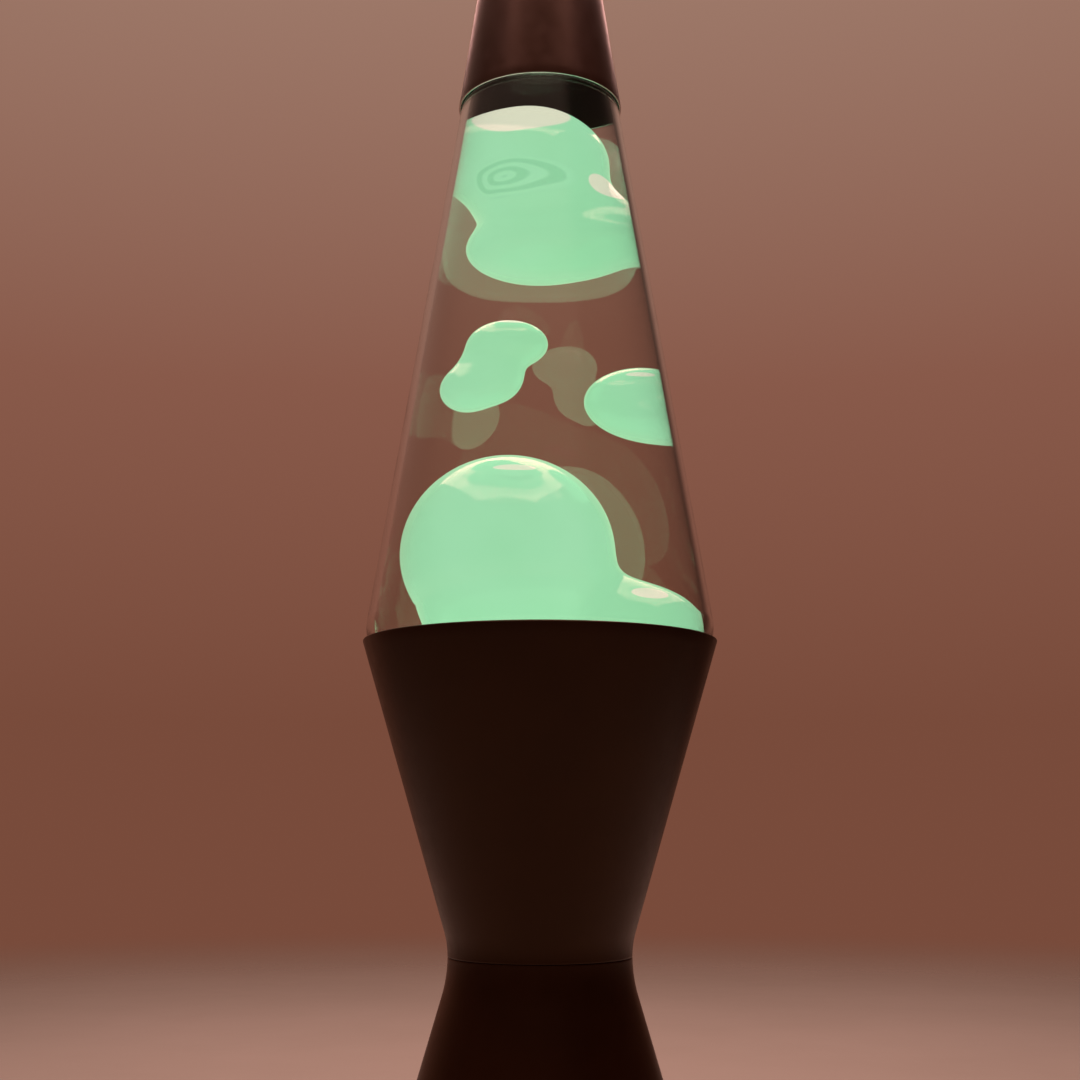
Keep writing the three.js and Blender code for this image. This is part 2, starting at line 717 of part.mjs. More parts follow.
function topCap() {
  const corner = 2.5;
  const cornerZ = CAP_TOP - corner;
  const cornerRadius = CAP_RADIUS - CAP_SLOPE * (cornerZ - CAP_Z);
  const outside = [[CAP_RADIUS, CAP_Z], ...arc(cornerRadius - corner, cornerZ, corner, 0, 90, 3),
    [0, CAP_TOP]];
  const inside = [[CAP_RADIUS - CAP_SHEET, CAP_Z], [cornerRadius - CAP_SHEET, cornerZ],
    [cornerRadius - corner, CAP_TOP - CAP_SHEET], [0, CAP_TOP - CAP_SHEET]];
  return spin([...inside.toReversed(), ...outside]);
}

// ---- The whole lamp -----------------------------------------------------------------------------

base();
underside();
stand();
socket();
bulb();
globe();
add('top_cap', topCap(), PAINT);

export default group;
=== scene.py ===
# A lava lamp on a pale floor: a dark hourglass base with a bulb in it, a tapering bottle of clear
# liquid and glowing wax, and a conical cap. Metres, +Z up, and the camera is on the -Y side.

import json
import math

import bmesh
import bpy
import numpy as np
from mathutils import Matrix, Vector

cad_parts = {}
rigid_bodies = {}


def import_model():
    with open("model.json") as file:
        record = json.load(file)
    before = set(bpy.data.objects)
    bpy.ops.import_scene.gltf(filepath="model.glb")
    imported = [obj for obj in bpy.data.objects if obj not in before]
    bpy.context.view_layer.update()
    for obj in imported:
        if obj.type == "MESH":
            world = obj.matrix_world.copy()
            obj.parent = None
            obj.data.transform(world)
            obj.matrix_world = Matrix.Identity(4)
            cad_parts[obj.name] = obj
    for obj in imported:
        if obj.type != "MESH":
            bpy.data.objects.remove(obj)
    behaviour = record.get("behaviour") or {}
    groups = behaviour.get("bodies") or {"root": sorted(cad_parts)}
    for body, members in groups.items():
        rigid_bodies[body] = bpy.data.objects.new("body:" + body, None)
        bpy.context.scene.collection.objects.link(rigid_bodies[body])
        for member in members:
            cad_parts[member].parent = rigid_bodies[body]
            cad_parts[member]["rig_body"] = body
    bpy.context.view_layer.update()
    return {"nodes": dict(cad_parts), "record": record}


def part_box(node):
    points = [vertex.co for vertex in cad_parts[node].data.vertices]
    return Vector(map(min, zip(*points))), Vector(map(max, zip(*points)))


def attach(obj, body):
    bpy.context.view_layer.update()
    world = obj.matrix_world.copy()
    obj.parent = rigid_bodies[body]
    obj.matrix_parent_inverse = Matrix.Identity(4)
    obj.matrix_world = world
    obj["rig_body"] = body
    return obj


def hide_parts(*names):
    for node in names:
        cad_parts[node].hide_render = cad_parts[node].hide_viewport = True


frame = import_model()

MM = 0.001

# ---- Sizes, from the frame and the few that it doesn't say --------------------------------------

BASE_LOW, BASE_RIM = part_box("lower_cone")[0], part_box("upper_cone")[1]
GLOBE_LOW, GLOBE_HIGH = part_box("glass_globe")
CAP_LOW, CAP_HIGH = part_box("top_cap")
LIQUID_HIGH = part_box("liquid")[1]
BULB_LOW, BULB_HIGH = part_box("bulb_glass")

SEAM_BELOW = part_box("lower_cone")[1].z
SEAM = SEAM_BELOW + 0.03 * MM  # where the upper cone stands on the lower one
WAIST_RADIUS = 24 * MM
FLANGE_RADIUS = 15.5 * MM
UPPER_SLOPE = 0.3  # radius gained per height
LOWER_SLOPE = 0.296
LOWER_BEND = 35 * MM
RIM_FLANGE = 34 * MM
SHEET = 1.1 * MM
CAP_SLOPE = 0.148
CAP_SHEET = 0.6 * MM
GLOBE_SLOPE = 0.161
GLOBE_WIDEST = 157.5 * MM
GLOBE_RADIUS = 46.7 * MM
GLASS = 2 * MM
FLOOR_OF_GLOBE = 132.5 * MM
SHOULDER = 326 * MM
NECK = 340 * MM
NECK_RADIUS = 12.2 * MM
BORE = 8.5 * MM

# Cream patches painted in the wax in place of reflections of lights, so they stay put when the view
# changes: (place, size), in millimetres.
CREAM = [
    ((-5, -10, 303), (14, 14, 10.5)),
    ((18, -4, 282.5), (6, 12, 3.4)),
    ((-7, -7, 241), (4.2, 4, 1.2)),
    ((25, -6, 226.5), (4.5, 4, 0.9)),
    ((-6, -21, 196.8), (6, 4, 1.1)),
    ((27.5, -11, 165), (5.5, 4, 1.6)),
]
PAINTED_RIPPLES = ((-8, -12.5, 281), (19, 11, 5.5))  # rings of painted shade standing in for ripples on the top mass

# ---- Outlines -----------------------------------------------------------------------------------


def arc(centre_radius, centre_z, radius, start, end, steps):
    """Points (radius, z) on a circle, from one angle to another in degrees."""
    angles = [math.radians(start + (end - start) * i / steps) for i in range(steps + 1)]
    return [(centre_radius + radius * math.cos(a), centre_z + radius * math.sin(a)) for a in angles]


def wall(outline, thickness):
    """The loop round a wall of even thickness: the outline, then itself moved to its left side."""
    points = [Vector(p) for p in outline]
    sides = [(b - a).normalized() for a, b in zip(points, points[1:])]
    normals = [Vector((-side.y, side.x)) for side in sides]
    inner = []
    for i, point in enumerate(points):
        before = normals[max(i - 1, 0)]
        after = normals[min(i, len(normals) - 1)]
        inner.append(point + (before + after) * thickness / (1 + before.dot(after)))
    return outline + [tuple(p) for p in reversed(inner)]


def softened(loop, size, steps=3):
    """The closed loop with its sharp corners rounded over size."""
    points = [Vector(p) for p in loop]
    soft = []
    for i, corner in enumerate(points):
        before = points[i - 1] - corner
        after = points[(i + 1) % len(points)] - corner
        straight = before.length < 1e-9 or after.length < 1e-9 or before.angle(after) > math.radians(155)
        if straight or corner.x < 1e-9:
            soft.append(tuple(corner))
            continue
        start = corner + before.normalized() * min(size, before.length / 2)
        end = corner + after.normalized() * min(size, after.length / 2)
        for k in range(steps + 1):
            t = k / steps
            soft.append(tuple(start * (1 - t) ** 2 + corner * 2 * t * (1 - t) + end * t**2))
    return soft


def radius_at(outline, z):
    """The radius of an outline that rises steadily, at a height."""
    return float(np.interp(z, [p[1] for p in outline], [p[0] for p in outline]))


# ---- Meshes -------------------------------------------------------------------------------------


def made(name, vertices, faces, sharp=30):
    """A smooth-shaded mesh object that stays sharp at edges over that angle, facing outwards."""
    mesh = bpy.data.meshes.new(name)
    mesh.from_pydata(vertices, [], faces)
    shell = bmesh.new()
    shell.from_mesh(mesh)
    bmesh.ops.recalc_face_normals(shell, faces=shell.faces)
    shell.to_mesh(mesh)
    shell.free()
    mesh.shade_smooth()
    mesh.set_sharp_from_angle(angle=math.radians(sharp))
    piece = bpy.data.objects.new(name, mesh)
    bpy.context.scene.collection.objects.link(piece)
    return piece


def divided(loop, longest=3 * MM):
    """The closed loop with its long stretches split, so that smooth shading stays true along them."""
    fine = []
    for (r0, z0), (r1, z1) in zip(loop, [*loop[1:], loop[0]]):
        count = 1 if r0 == r1 == 0 else math.ceil(math.hypot(r1 - r0, z1 - z0) / longest)
        fine += [(r0 + (r1 - r0) * i / count, z0 + (z1 - z0) * i / count) for i in range(count)]
    return fine


def spin(name, loop, around=192, shape=None, sharp=30):
    """A solid of revolution about Z. shape(angle, radius, z) may give each point another radius."""
    vertices, rows = [], []
    for radius, z in divided(loop):
        if radius < 1e-9:
            rows.append([len(vertices)] * around)
            vertices.append((0, 0, z))
            continue
        rows.append(range(len(vertices), len(vertices) + around))
        for i in range(around):
            angle = 2 * math.pi * i / around
            here = shape(angle, radius, z) if shape else radius
            vertices.append((here * math.cos(angle), here * math.sin(angle), z))
    faces = []
    for low, high in zip(rows, [*rows[1:], rows[0]]):
        for i in range(around):
            k = (i + 1) % around
            corners = list(dict.fromkeys([low[i], low[k], high[k], high[i]]))
            if len(corners) > 2:
                faces.append(corners)
    return made(name, vertices, faces, sharp)


def wire(name, points, radius, cyclic=False):
    """A round wire through these points."""
    curve = bpy.data.curves.new(name, "CURVE")
    curve.dimensions = "3D"
    curve.bevel_depth = radius
    curve.bevel_resolution = 3
    curve.use_fill_caps = True
    spline = curve.splines.new("POLY")
    spline.points.add(len(points) - 1)
    for target, point in zip(spline.points, points):
        target.co = (*point, 1)
    spline.use_cyclic_u = cyclic
    spline.use_smooth = True
    piece = bpy.data.objects.new(name, curve)
    bpy.context.scene.collection.objects.link(piece)
    return piece


# ---- Finishes -----------------------------------------------------------------------------------


def spread(tree, value, start, end, low, high, kind="LINEAR"):
    """A value from start to end, spread from low to high, in the nodes of a tree."""
    node = tree.nodes.new("ShaderNodeMapRange")
    node.interpolation_type = kind
    node.inputs["From Min"].default_value = start
    node.inputs["From Max"].default_value = end
    node.inputs["To Min"].default_value = low
    node.inputs["To Max"].default_value = high
    tree.links.new(value, node.inputs["Value"])
    return node.outputs["Result"]


class Finish:
    """A Principled material, with short ways to lay patterns on it."""

    def __init__(self, name, **inputs):
        self.material = bpy.data.materials.new(name)
        self.material.use_nodes = True
        self.nodes = self.material.node_tree.nodes
        self.links = self.material.node_tree.links
        self.shader = self.nodes["Principled BSDF"]
        for socket, value in inputs.items():
            self.shader.inputs[socket.replace("_", " ")].default_value = value
        self.place = self.nodes.new("ShaderNodeTexCoord").outputs["Object"]

    def noise(self, scale, stretch=(1, 1, 1), detail=3):
        mapping = self.nodes.new("ShaderNodeMapping")
        mapping.inputs["Scale"].default_value = stretch
        self.links.new(self.place, mapping.inputs["Vector"])
        texture = self.nodes.new("ShaderNodeTexNoise")
        texture.inputs["Scale"].default_value = scale
        texture.inputs["Detail"].default_value = detail
        self.links.new(mapping.outputs["Vector"], texture.inputs["Vector"])
        return texture.outputs["Fac"]

    def levels(self, value, low, high):
        """The middle part of a pattern, spread from low to high."""
        return spread(self.material.node_tree, value, 0.3, 0.7, low, high)

    def mix(self, value, first, second):
        """The first colour, turning into the second where a pattern is high."""
        return self.blend(self.levels(value, 0, 1), first, second)

    def blend(self, factor, first, second):
        mixer = self.nodes.new("ShaderNodeMix")
        mixer.data_type = "RGBA"
        self.links.new(factor, mixer.inputs["Factor"])
        for socket, colour in ((mixer.inputs["A"], first), (mixer.inputs["B"], second)):
            if isinstance(colour, bpy.types.NodeSocket):
                self.links.new(colour, socket)
            else:
                socket.default_value = (*colour, 1)
        return mixer.outputs["Result"]

    def within(self, at, size):
        """The place as seen from the middle of a ball, with the ball's skin 1 away. In millimetres."""
        place = self.nodes.new("ShaderNodeMapping")
        place.vector_type = "TEXTURE"
        place.inputs["Location"].default_value = [v * MM for v in at]
        place.inputs["Scale"].default_value = [v * MM for v in size]
        self.links.new(self.place, place.inputs["Vector"])
        return place.outputs["Vector"]

    def patch(self, under, within, full, none, colour):
        """Another colour inside a ball, fading from the full to the none distance from its middle."""
        distance = self.nodes.new("ShaderNodeVectorMath")
        distance.operation = "LENGTH"
        self.links.new(within, distance.inputs[0])
        tree = self.material.node_tree
        amount = spread(tree, distance.outputs["Value"], full, none, 1, 0, "SMOOTHSTEP")
        return self.blend(amount, under, colour)

    def drive(self, socket, value):
        self.links.new(value, self.shader.inputs[socket])

    def bump(self, *heights):
        """heights are (pattern, height in metres), laid over each other."""
        normal = None
        for pattern, height in heights:
            node = self.nodes.new("ShaderNodeBump")
            node.inputs["Strength"].default_value = 1
            node.inputs["Distance"].default_value = height
            self.links.new(pattern, node.inputs["Height"])
            if normal:
                self.links.new(normal, node.inputs["Normal"])
            normal = node.outputs["Normal"]
        self.links.new(normal, self.shader.inputs["Normal"])


def paint():
    """Dark brown satin paint over spun metal: a fine orange peel over faint turning rings."""
    f = Finish("paint", IOR=1.5, Specular_IOR_Level=0.42, Specular_Tint=(1.0, 0.72, 0.5, 1))
    f.drive("Base Color", f.mix(f.noise(45), (0.022, 0.0057, 0.0008), (0.030, 0.0086, 0.0016)))
    f.drive("Roughness", f.levels(f.noise(260, detail=5), 0.30, 0.38))
    f.bump((f.noise(900), 0.000012), (f.noise(1, (0, 0, 900)), 0.000004))
    return f.material


def clear_glass():
    """Heavy clear glass with the slow waviness of a blown bottle."""
    f = Finish("glass", IOR=1.8, Transmission_Weight=1.0, Base_Color=(1, 1, 1, 1))
    f.drive("Roughness", f.levels(f.noise(60), 0.0, 0.012))
    f.bump((f.noise(38, detail=1), 0.00003))
    return f.material


def liquid():
    """Clear liquid that hardly bends light, and takes a little blue out of it."""
    f = Finish("liquid", IOR=1.1, Transmission_Weight=1.0, Base_Color=(1, 1, 1, 1))
    f.drive("Roughness", f.levels(f.noise(30), 0.0, 0.004))
    tint = f.nodes.new("ShaderNodeVolumeAbsorption")
    tint.inputs["Color"].default_value = (1.0, 0.94, 0.72, 1)
    tint.inputs["Density"].default_value = 4
    f.links.new(tint.outputs["Volume"], f.nodes["Material Output"].inputs["Volume"])
    return f.material


def wax():
    """Smooth wax in a painted mint glow for the bulb's light, painted ripple shade and reflection patches.
    """
    f = Finish("wax", IOR=1.5, Base_Color=(0.03, 0.10, 0.055, 1))
    mint = f.mix(f.noise(28, detail=2), (0.335, 0.775, 0.43), (0.385, 0.83, 0.49))
    within = f.within(*PAINTED_RIPPLES)
    rings = f.nodes.new("ShaderNodeTexWave")
    rings.wave_type = "RINGS"
    rings.rings_direction = "SPHERICAL"
    rings.inputs["Scale"].default_value = 0.9
    rings.inputs["Distortion"].default_value = 2.6
    rings.inputs["Detail"].default_value = 1
    f.links.new(within, rings.inputs["Vector"])
    # Painted ripple shade: rings of darker and lighter mint in the top mass.
    painted_ripple_shade = f.mix(rings.outputs["Fac"], (0.30, 0.72, 0.40), (0.375, 0.82, 0.48))
    colour = f.patch(mint, within, 0.75, 1.05, painted_ripple_shade)
    for at, size in CREAM:
        colour = f.patch(colour, f.within(at, size), 0.93, 1.0, (0.80, 0.82, 0.62))
    # Painted glow: the wax gives off its colour as light, standing in for the bulb's light shining through
    # it.
    f.drive("Emission Color", colour)
    f.shader.inputs["Emission Strength"].default_value = 1
    f.drive("Roughness", f.levels(f.noise(80), 0.01, 0.03))
    f.bump((f.noise(40, detail=1), 0.0006))
    return f.material


def steel():
    """Zinc plate: bright metal with cloudy, spangled roughness."""
    f = Finish("steel", Metallic=1.0)
    f.drive("Base Color", f.mix(f.noise(180), (0.42, 0.43, 0.45), (0.56, 0.56, 0.57)))
    f.drive("Roughness", f.levels(f.noise(420, detail=5), 0.26, 0.46))
    f.bump((f.noise(1500), 0.000008))
    return f.material


def spun_aluminium():
    """The bare inside of the cones: turning rings in dull metal."""
    f = Finish("spun_aluminium", Metallic=1.0)
    rings = f.noise(1, (0, 0, 1400), detail=4)
    f.drive("Base Color", f.mix(f.noise(70), (0.34, 0.33, 0.32), (0.44, 0.43, 0.42)))
    f.drive("Roughness", f.levels(rings, 0.34, 0.52))
    f.bump((rings, 0.00002))
    return f.material


def polished_edge():
    """The trimmed edge of the cap: bright metal with fine marks along it."""
    f = Finish("polished_edge", Metallic=1.0)
    f.drive("Base Color", f.mix(f.noise(300), (0.62, 0.61, 0.58), (0.75, 0.74, 0.71)))
    f.drive("Roughness", f.levels(f.noise(900), 0.12, 0.22))
    f.bump((f.noise(1, (0, 0, 3000)), 0.000004))
    return f.material


def crown_steel():
    """Lacquered tin plate, scuffed by the capping die."""
    f = Finish("crown_steel", Metallic=1.0, Coat_Weight=0.3, Coat_Roughness=0.15)
    f.drive("Base Color", f.mix(f.noise(120), (0.50, 0.49, 0.45), (0.62, 0.60, 0.55)))
    f.drive("Roughness", f.levels(f.noise(30, (40, 4, 4), 5), 0.2, 0.36))
    f.bump((f.noise(900), 0.000006))
    return f.material


def brass():
    """Plain brass with brown tarnish in patches."""
    f = Finish("brass", Metallic=1.0)
    f.drive("Base Color", f.mix(f.noise(150, detail=5), (0.42, 0.25, 0.09), (0.68, 0.46, 0.19)))
    f.drive("Roughness", f.levels(f.noise(380, detail=4), 0.22, 0.44))
    f.bump((f.noise(1300), 0.000006))
    return f.material


def rubber():
    """Matt black rubber with a grain and a little bloom."""
    f = Finish("rubber", Specular_IOR_Level=0.3)
    f.drive("Base Color", f.mix(f.noise(90, detail=5), (0.010, 0.010, 0.010), (0.024, 0.023, 0.022)))
    f.drive("Roughness", f.levels(f.noise(300), 0.68, 0.86))
    f.bump((f.noise(1600, detail=5), 0.00003))
    return f.material


def phenolic():
    """Black moulded phenolic with a faint brown mottle."""
    f = Finish("phenolic")
    f.drive("Base Color", f.mix(f.noise(220, detail=5), (0.012, 0.010, 0.009), (0.030, 0.021, 0.016)))
    f.drive("Roughness", f.levels(f.noise(500), 0.36, 0.52))
    f.bump((f.noise(1200), 0.00001))
    return f.material


def black_glass():
    """The vitrite bead round the bulb's contact."""
    f = Finish("black_glass", Coat_Weight=0.5)
    f.drive("Base Color", f.mix(f.noise(300), (0.008, 0.008, 0.012), (0.020, 0.018, 0.026)))
    f.drive("Roughness", f.levels(f.noise(500), 0.08, 0.2))
    f.bump((f.noise(900), 0.00001))
    return f.material


def solder():
    """Soft solder, dull and dimpled."""
    f = Finish("solder", Metallic=1.0)
    f.drive("Base Color", f.mix(f.noise(500), (0.36, 0.37, 0.39), (0.52, 0.52, 0.53)))
    f.drive("Roughness", f.levels(f.noise(700), 0.34, 0.56))
    f.bump((f.noise(800), 0.00006))
    return f.material


def tungsten():
    """Drawn wire, hot enough to glow."""
    f = Finish("tungsten", Metallic=1.0, Emission_Strength=2.0)
    f.drive("Base Color", f.mix(f.noise(900), (0.09, 0.09, 0.10), (0.16, 0.15, 0.15)))
    f.drive("Roughness", f.levels(f.noise(1500), 0.3, 0.5))
    f.shader.inputs["Emission Color"].default_value = (1.0, 0.52, 0.2, 1)
    return f.material


FINISHES = {  # by the slots of the record
    "paint": paint(),
    "glass": clear_glass(),
    "liquid": liquid(),
    "wax": wax(),
    "steel": steel(),
    "crown_steel": crown_steel(),
    "brass": brass(),
    "rubber": rubber(),
    "phenolic": phenolic(),
    "black_glass": black_glass(),
    "solder": solder(),
    "tungsten": tungsten(),
}
BARE = spun_aluminium()
POLISHED = polished_edge()
SLOTS = {part["node"]: part["material_slot"] for part in frame["record"]["subparts"]}


EDGE_ROUND = 0.12 * MM


def smooth_by_angle(sharp=30):
    """Nodes that shade a mesh smoothly, but for its edges over that angle."""
    group = bpy.data.node_groups.new("smooth_by_angle", "GeometryNodeTree")
    group.interface.new_socket("Geometry", in_out="INPUT", socket_type="NodeSocketGeometry")
    group.interface.new_socket("Geometry", in_out="OUTPUT", socket_type="NodeSocketGeometry")
    start, end = group.nodes.new("NodeGroupInput"), group.nodes.new("NodeGroupOutput")
    angle = group.nodes.new("GeometryNodeInputMeshEdgeAngle")
    gentle = group.nodes.new("FunctionNodeCompare")
    gentle.operation = "LESS_EQUAL"
    gentle.inputs["B"].default_value = math.radians(sharp)
    group.links.new(angle.outputs["Unsigned Angle"], gentle.inputs["A"])
    faces = group.nodes.new("GeometryNodeSetShadeSmooth")
    edges = group.nodes.new("GeometryNodeSetShadeSmooth")
    edges.domain = "EDGE"
    group.links.new(start.outputs["Geometry"], faces.inputs["Geometry"])
    group.links.new(faces.outputs["Geometry"], edges.inputs["Geometry"])
    group.links.new(gentle.outputs["Result"], edges.inputs["Shade Smooth"])
    group.links.new(edges.outputs["Geometry"], end.inputs["Geometry"])
    return group


def finish_cad():
    """Each CAD piece gets the finish that its slot names, and a small round on its edges."""
    smooth = smooth_by_angle()
    for name, piece in frame["nodes"].items():
        piece.data.materials.clear()
        piece.data.materials.append(FINISHES[SLOTS[name]])
        weld = piece.modifiers.new("weld", "WELD")
        weld.merge_threshold = 0.001 * MM
        round_ = piece.modifiers.new("round", "BEVEL")
        round_.width = EDGE_ROUND
        round_.segments = 2
        round_.limit_method = "ANGLE"
        round_.angle_limit = math.radians(32)
        shading = piece.modifiers.new("shading", "NODES")
        shading.node_group = smooth
        flats = piece.modifiers.new("flats", "WEIGHTED_NORMAL")
        flats.keep_sharp = True


def stands_for(piece, node, second=None, where=None):
    """piece takes the place, body and finish of a CAD node; faces that pass the test get a second one."""
    piece.data.materials.append(FINISHES[SLOTS[node]])
    if second:
        piece.data.materials.append(second)
        for face in piece.data.polygons:
            face.material_index = int(where(face))
    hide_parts(node)
    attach(piece, frame["nodes"][node]["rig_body"])


# ---- The cones and the cap ----------------------------------------------------------------------


def faces_inwards(face):
    """Whether a face of a cone looks at the axis."""
    outwards = Vector((face.center.x, face.center.y, 0)).normalized()
    return face.normal.dot(outwards) < -0.3


def upper_cone():
    """Sheet metal that flares up from the waist to the rim that the bottle sits in."""
    tilt = math.atan(UPPER_SLOPE)
    rim_radius = BASE_RIM.x
    rim_z = BASE_RIM.z - SHEET * math.sin(tilt)
    straight = rim_radius - UPPER_SLOPE * (rim_z - SEAM)
    bend = (WAIST_RADIUS - straight) / (math.sin(tilt) * UPPER_SLOPE - 1 + math.cos(tilt))
    flare = arc(WAIST_RADIUS + bend, SEAM, bend, 180, 180 - math.degrees(tilt), 16)
    outline = [(FLANGE_RADIUS, SEAM), *flare, (rim_radius, rim_z)]
    cone = spin("cone_upper", softened(wall(outline, SHEET), 0.45 * MM))
    stands_for(cone, "upper_cone", BARE, faces_inwards)


def lower_cone():
    """Sheet metal that flares down from the waist to the foot."""
    tilt = math.atan(LOWER_SLOPE)
    flare = arc(WAIST_RADIUS + LOWER_BEND, SEAM_BELOW, LOWER_BEND, 180 + math.degrees(tilt), 180, 20)
    flare_radius, flare_z = flare[0]
    rim_radius = flare_radius + LOWER_SLOPE * (flare_z - BASE_LOW.z)
    outline = [(RIM_FLANGE, BASE_LOW.z), (rim_radius, BASE_LOW.z), *flare, (FLANGE_RADIUS, SEAM_BELOW)]
    cone = spin("cone_lower", softened(wall(outline, SHEET), 0.45 * MM))
    stands_for(cone, "lower_cone", BARE, faces_inwards)


def top_cap():
    """A closed cone over the neck, bare metal along its lower edge."""
    corner = 2.5 * MM
    corner_z = CAP_HIGH.z - corner
    corner_radius = CAP_LOW.x * -1 - CAP_SLOPE * (corner_z - CAP_LOW.z)
    rim = CAP_HIGH.x
    outside = [(rim, CAP_LOW.z), *arc(corner_radius - corner, corner_z, corner, 0, 90, 10), (0, CAP_HIGH.z)]
    inside = [
        (rim - CAP_SHEET, CAP_LOW.z),
        (corner_radius - CAP_SHEET, corner_z),
        (corner_radius - corner, CAP_HIGH.z - CAP_SHEET),
        (0, CAP_HIGH.z - CAP_SHEET),
    ]
    cap = spin("cap", softened([*reversed(inside), *outside], 0.25 * MM, 4), 256)
    rim_edge = CAP_LOW.z + 0.2 * MM
    stands_for(cap, "top_cap", POLISHED, lambda face: face.center.z < rim_edge)


# ---- The bottle and what is in it ---------------------------------------------------------------


def bottle_outline():
    """The outside of the bottle, from its foot to its mouth."""
    lower_slope = 0.36
    round_ = 12 * MM
    centre = GLOBE_RADIUS - round_
    up = math.degrees(math.atan(GLOBE_SLOPE))
    down = math.degrees(math.atan(lower_slope))
    belly = arc(centre, GLOBE_WIDEST, round_, -down, up, 14)
    heel = 5 * MM
    heel_z = GLOBE_LOW.z + heel
    heel_radius = belly[0][0] - lower_slope * (belly[0][1] - heel_z)
    heel_arc = arc(heel_radius - heel, heel_z, heel, -90, -down, 8)
    cone_radius, cone_z = belly[-1]
    shoulder = (cone_radius - GLOBE_SLOPE * (SHOULDER - cone_z), SHOULDER)
    lip = NECK_RADIUS + 1 * MM
    neck = [
        (16.6 * MM, NECK - 7.5 * MM),
        (lip, NECK - 3.5 * MM),
        (NECK_RADIUS, NECK),
        (lip, NECK + 2 * MM),
        (lip, GLOBE_HIGH.z - 0.8 * MM),
        (NECK_RADIUS + 0.2 * MM, GLOBE_HIGH.z),
    ]
    return [(heel_radius - heel - 4 * MM, GLOBE_LOW.z), *heel_arc, *belly, shoulder, *neck]


def cavity_outline():
    """The inside of the bottle, from the middle of its floor to its mouth."""
    outer = bottle_outline()[1:]
    corner = 4 * MM
    belly = [GLOBE_WIDEST + 3 * MM * math.sin(math.radians(a)) for a in range(-90, 91, 15)]
    levels = [FLOOR_OF_GLOBE + corner, *belly, SHOULDER - 2 * MM]
    side = [(radius_at(outer, z) - GLASS, z) for z in levels]
    corner_arc = arc(side[0][0] - corner, FLOOR_OF_GLOBE + corner, corner, -90, -18, 6)
    neck = [(13 * MM, NECK - 8.5 * MM), (BORE + 0.6 * MM, NECK - 4 * MM), (BORE, NECK), (BORE, GLOBE_HIGH.z)]
    return [(0, FLOOR_OF_GLOBE), *corner_arc, *side[1:], *neck]


CAVITY = cavity_outline()


def bottle():
    """The glass, with a slight push-up under its foot."""
    push_up = 3 * MM
    outer = bottle_outline()
    under = [(0, GLOBE_LOW.z + push_up), (outer[0][0] * 0.6, GLOBE_LOW.z + push_up * 0.75)]
    loop = softened([*under, *outer, *reversed(CAVITY)], 1.2 * MM, 4)
    stands_for(spin("bottle", loop, 256, sharp=50), "glass_globe")


def bottle_liquid():
    """Up to its level, a hair inside the glass, with the edge of the surface drawn up the wall."""
    gap = 0.05 * MM
    level = LIQUID_HIGH.z
    rise = 1.2 * MM
    side = [(radius - gap, z) for radius, z in CAVITY[1:] if FLOOR_OF_GLOBE + gap < z < level]
    edge = radius_at(CAVITY[1:], level + rise) - gap
    surface = [(edge - 2.4 * MM * t, level + rise * (1 - t) ** 3) for t in (0, 0.15, 0.3, 0.5, 0.75, 1)]
    low = FLOOR_OF_GLOBE + gap
    loop = [(0, low), (side[0][0] - 4 * MM, low), *side, *surface, (0, level)]
    stands_for(spin("bottle_liquid", loop, 192, sharp=50), "liquid")


# Each mass is a few soft balls that flow into one skin: (place, size), in millimetres.
WAX = {
    "wax_top": {
        "heart": (2, 6, 276),
        "balls": [
            ((-1, 8, 286), (17, 24.5, 20)),
            ((-8, 5, 294), (22, 16, 11.5)),
            ((13, 7, 272), (12.5, 11, 12)),
            ((-0.5, 7, 265.5), (17.5, 15, 9)),
            ((19.5, 6, 268.5), (25.5, 12, 5.5)),
        ],
    },
    "wax_left": {
        "heart": (-12.5, -2.5, 227),
        "balls": [
            ((-8, -1, 235.5), (10, 9.5, 6.5)),
            ((-12.5, -2.5, 226.5), (8.5, 7, 8.5)),
            ((-18.5, -3, 222), (6.5, 7, 6)),
        ],
    },
    "wax_right": {
        "heart": (27, 3, 218),
        "balls": [
            ((26.5, 3.5, 220), (15.5, 10.5, 10)),
            ((33.5, 1, 214), (13, 11.5, 5.5)),
        ],
    },
    "wax_bottom": {
        "heart": (-3, -3, 150),
        "balls": [
            ((-8, -3, 176.5), (26.5, 27, 26.5)),
            ((21, -2.5, 155.5), (20, 12, 13)),
            ((23.5, -1.5, 125.5), (20.5, 14.5, 16)),
            ((0, 0, 138), (62, 62, 12)),
        ],
    },
}
FILM = 0.4  # of liquid between the wax and the glass, in millimetres
FLOW = 2.2  # how far the balls of a mass reach into each other; more is less


def wax_depth(balls, points):
    """Above 0 inside the wax: the balls' skin, cut softly by the wall and the floor of the bottle."""
    field = 0
    for at, size in balls:
        far = ((points - np.array(at)) / np.array(size)) ** 2
        field = field + np.exp(FLOW * (1 - far.sum(-1)))
    skin = np.log(np.maximum(field, 1e-12))
    heights = [p[1] / MM for p in CAVITY[1:]]
    radii = [p[0] / MM for p in CAVITY[1:]]
    from_wall = np.interp(points[..., 2], heights, radii) - FILM - np.hypot(points[..., 0], points[..., 1])
    from_floor = points[..., 2] - FLOOR_OF_GLOBE / MM - FILM
    sharpness = 14
    per_millimetre = 0.35
    cuts = [skin, from_wall * per_millimetre, from_floor * per_millimetre]
    return -np.log(sum(np.exp(-sharpness * np.clip(cut, -8, 8)) for cut in cuts)) / sharpness


